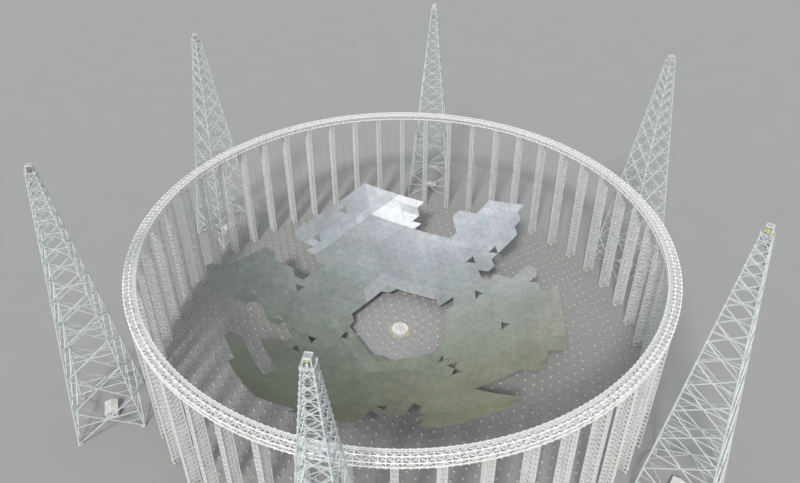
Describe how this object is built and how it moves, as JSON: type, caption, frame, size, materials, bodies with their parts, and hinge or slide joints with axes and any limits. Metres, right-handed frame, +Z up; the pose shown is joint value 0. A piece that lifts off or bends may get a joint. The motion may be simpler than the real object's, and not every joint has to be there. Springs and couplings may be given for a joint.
{
  "type": "radio telescope dish, 1:20 scale model",
  "caption": "Giant fixed spherical dish under construction, 1:20: ring truss on lattice columns, cable net, part-laid reflector, lattice towers and a docking platform.",
  "frame": {"origin": "on the floor under the centre of the dish", "axes": "+Z up; +Y points from the picture's near side to its far side, +X to the right"},
  "size_m": [32.7326, 32.5234, 13.9203],
  "materials": {
    "white_steel": "off-white paint on steel, weathered",
    "cable_steel": "galvanised steel cable, dull",
    "panel_aluminium": "perforated aluminium sheet, satin",
    "tower_steel": "pale grey-blue paint on steel tube",
    "white_paint": "white paint, satin",
    "concrete": "pale concrete, rough"
  },
  "bodies": {
    "root": {"ring_truss_1": "white_steel", "ring_truss_2": "white_steel", "ring_truss_3": "white_steel", "ring_truss_4": "white_steel", "ring_truss_5": "white_steel", "column_row_1": "white_steel", "column_row_2": "white_steel", "column_row_3": "white_steel", "column_row_4": "white_steel", "column_row_5": "white_steel", "column_row_6": "white_steel", "column_row_7": "white_steel", "column_row_8": "white_steel", "column_row_9": "white_steel", "column_row_10": "white_steel", "cable_net_1": "cable_steel", "cable_net_2": "cable_steel", "cable_net_3": "cable_steel", "cable_net_4": "cable_steel", "cable_net_5": "cable_steel", "reflector_1": "panel_aluminium", "reflector_2": "panel_aluminium", "reflector_3": "panel_aluminium", "reflector_4": "panel_aluminium", "reflector_5": "panel_aluminium", "tower_1": "tower_steel", "tower_2": "tower_steel", "tower_3": "tower_steel", "tower_4": "tower_steel", "tower_5": "tower_steel", "tower_6": "tower_steel", "tower_head_1": "white_paint", "tower_head_2": "white_paint", "tower_head_3": "white_paint", "tower_head_4": "white_paint", "tower_head_5": "white_paint", "tower_head_6": "white_paint", "winch_house_1": "white_paint", "winch_house_2": "white_paint", "winch_house_3": "white_paint", "winch_house_4": "white_paint", "winch_house_5": "white_paint", "winch_house_6": "white_paint", "docking_base": "concrete", "docking_platform": "white_paint"}
  },
  "joints": []
}
